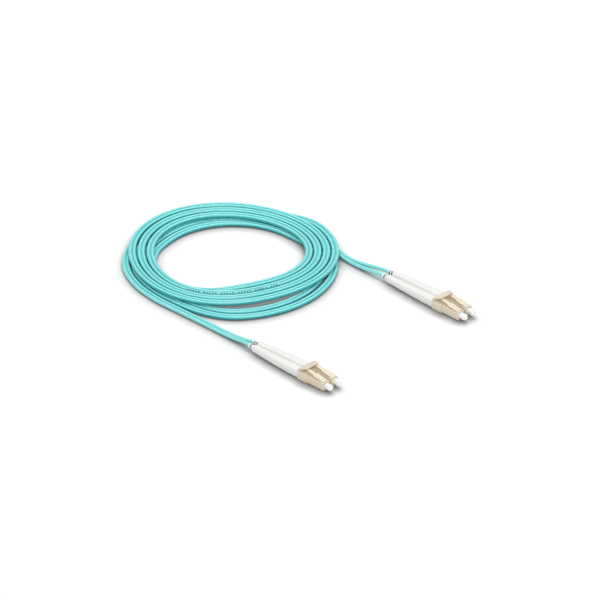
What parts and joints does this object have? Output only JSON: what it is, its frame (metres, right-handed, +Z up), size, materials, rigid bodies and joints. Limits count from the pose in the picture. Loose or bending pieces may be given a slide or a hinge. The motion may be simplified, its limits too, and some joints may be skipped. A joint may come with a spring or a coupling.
{
  "type": "fiber optic patch cord",
  "caption": "Duplex fibre optic patch cord: flat zipcord in a loose coil, with a latched LC-type duplex connector, boots and dust caps on each end.",
  "frame": {"origin": "on the surface that the cord lies on, midway between the two duplex connectors and at the middle of their length from the jackets behind the marker sleeves to the tips of the dust caps", "axes": "+Z up; +X the way both connectors point, from the boots to the dust caps; +Y from connector A towards connector B"},
  "size_m": [0.188, 0.1186, 0.0086],
  "materials": {
    "plug_plastic": "satin",
    "boot_rubber": "satin",
    "cap_plastic": "gloss",
    "cord_jacket": "satin",
    "clear_sleeve": "gloss",
    "buffer_plastic": "satin",
    "ceramic": "polished",
    "plated_metal": "satin",
    "spring_steel": "drawn wire",
    "crimp_metal": "satin"
  },
  "bodies": {
    "connectors_and_cord": {"plug_housing_a1": "plug_plastic", "ferrule_spring_a1": "spring_steel", "rear_body_a1": "plated_metal", "crimp_sleeve_a1": "crimp_metal", "boot_a1": "boot_rubber", "marker_sleeve_a1": "clear_sleeve", "cord_jacket_a1": "cord_jacket", "plug_housing_a2": "plug_plastic", "ferrule_spring_a2": "spring_steel", "rear_body_a2": "plated_metal", "crimp_sleeve_a2": "crimp_metal", "boot_a2": "boot_rubber", "marker_sleeve_a2": "clear_sleeve", "cord_jacket_a2": "cord_jacket", "plug_housing_b1": "plug_plastic", "ferrule_spring_b1": "spring_steel", "rear_body_b1": "plated_metal", "crimp_sleeve_b1": "crimp_metal", "boot_b1": "boot_rubber", "marker_sleeve_b1": "clear_sleeve", "cord_jacket_b1": "cord_jacket", "plug_housing_b2": "plug_plastic", "ferrule_spring_b2": "spring_steel", "rear_body_b2": "plated_metal", "crimp_sleeve_b2": "crimp_metal", "boot_b2": "boot_rubber", "marker_sleeve_b2": "clear_sleeve", "cord_jacket_b2": "cord_jacket", "duplex_clip_a": "plug_plastic", "cord_tail_a": "cord_jacket", "duplex_clip_b": "plug_plastic", "cord_tail_b": "cord_jacket", "cord_coil": "cord_jacket"},
    "ferrule_a1": {"ferrule_a1": "ceramic", "ferrule_flange_a1": "plated_metal", "fibre_buffer_a1": "buffer_plastic"},
    "latch_a1": {"latch_a1": "plug_plastic"},
    "dust_cap_a1": {"dust_cap_a1": "cap_plastic"},
    "ferrule_a2": {"ferrule_a2": "ceramic", "ferrule_flange_a2": "plated_metal", "fibre_buffer_a2": "buffer_plastic"},
    "latch_a2": {"latch_a2": "plug_plastic"},
    "dust_cap_a2": {"dust_cap_a2": "cap_plastic"},
    "ferrule_b1": {"ferrule_b1": "ceramic", "ferrule_flange_b1": "plated_metal", "fibre_buffer_b1": "buffer_plastic"},
    "latch_b1": {"latch_b1": "plug_plastic"},
    "dust_cap_b1": {"dust_cap_b1": "cap_plastic"},
    "ferrule_b2": {"ferrule_b2": "ceramic", "ferrule_flange_b2": "plated_metal", "fibre_buffer_b2": "buffer_plastic"},
    "latch_b2": {"latch_b2": "plug_plastic"},
    "dust_cap_b2": {"dust_cap_b2": "cap_plastic"},
    "trigger_a": {"trigger_a": "plug_plastic"},
    "trigger_b": {"trigger_b": "plug_plastic"}
  },
  "joints": [
    {"name": "trigger_press_a", "type": "hinge", "parent": "connectors_and_cord", "child": "trigger_a", "pos_m": [0.009, -0.05, 0.00562], "axis": [0, 1, 0], "range_deg": [0, 12], "stiffness_Nm_per_rad": 0.05},
    {"name": "trigger_press_b", "type": "hinge", "parent": "connectors_and_cord", "child": "trigger_b", "pos_m": [0.009, 0.05, 0.00562], "axis": [0, 1, 0], "range_deg": [0, 12], "stiffness_Nm_per_rad": 0.05},
    {"name": "latch_flex_a1", "type": "hinge", "parent": "connectors_and_cord", "child": "latch_a1", "pos_m": [0.02615, -0.05312, 0.00503], "axis": [0, 1, 0], "range_deg": [-4, 0], "stiffness_Nm_per_rad": 0.02},
    {"name": "ferrule_push_a1", "type": "slide", "parent": "connectors_and_cord", "child": "ferrule_a1", "axis": [-1, 0, 0], "range_m": [0, 0.0015], "stiffness_N_per_m": 1500, "deforming": ["ferrule_spring_a1"]},
    {"name": "dust_cap_pull_a1", "type": "slide", "parent": "connectors_and_cord", "child": "dust_cap_a1", "axis": [1, 0, 0], "range_m": [0, 0.015]},
    {"name": "latch_flex_a2", "type": "hinge", "parent": "connectors_and_cord", "child": "latch_a2", "pos_m": [0.02615, -0.04688, 0.00503], "axis": [0, 1, 0], "range_deg": [-4, 0], "stiffness_Nm_per_rad": 0.02},
    {"name": "ferrule_push_a2", "type": "slide", "parent": "connectors_and_cord", "child": "ferrule_a2", "axis": [-1, 0, 0], "range_m": [0, 0.0015], "stiffness_N_per_m": 1500, "deforming": ["ferrule_spring_a2"]},
    {"name": "dust_cap_pull_a2", "type": "slide", "parent": "connectors_and_cord", "child": "dust_cap_a2", "axis": [1, 0, 0], "range_m": [0, 0.015]},
    {"name": "latch_flex_b1", "type": "hinge", "parent": "connectors_and_cord", "child": "latch_b1", "pos_m": [0.02615, 0.04688, 0.00503], "axis": [0, 1, 0], "range_deg": [-4, 0], "stiffness_Nm_per_rad": 0.02},
    {"name": "ferrule_push_b1", "type": "slide", "parent": "connectors_and_cord", "child": "ferrule_b1", "axis": [-1, 0, 0], "range_m": [0, 0.0015], "stiffness_N_per_m": 1500, "deforming": ["ferrule_spring_b1"]},
    {"name": "dust_cap_pull_b1", "type": "slide", "parent": "connectors_and_cord", "child": "dust_cap_b1", "axis": [1, 0, 0], "range_m": [0, 0.015]},
    {"name": "latch_flex_b2", "type": "hinge", "parent": "connectors_and_cord", "child": "latch_b2", "pos_m": [0.02615, 0.05312, 0.00503], "axis": [0, 1, 0], "range_deg": [-4, 0], "stiffness_Nm_per_rad": 0.02},
    {"name": "ferrule_push_b2", "type": "slide", "parent": "connectors_and_cord", "child": "ferrule_b2", "axis": [-1, 0, 0], "range_m": [0, 0.0015], "stiffness_N_per_m": 1500, "deforming": ["ferrule_spring_b2"]},
    {"name": "dust_cap_pull_b2", "type": "slide", "parent": "connectors_and_cord", "child": "dust_cap_b2", "axis": [1, 0, 0], "range_m": [0, 0.015]}
  ],
  "couplings": [
    {"joint": "latch_flex_a1", "follows": "trigger_press_a", "ratio": -0.33333},
    {"joint": "latch_flex_a2", "follows": "trigger_press_a", "ratio": -0.33333},
    {"joint": "latch_flex_b1", "follows": "trigger_press_b", "ratio": -0.33333},
    {"joint": "latch_flex_b2", "follows": "trigger_press_b", "ratio": -0.33333}
  ]
}
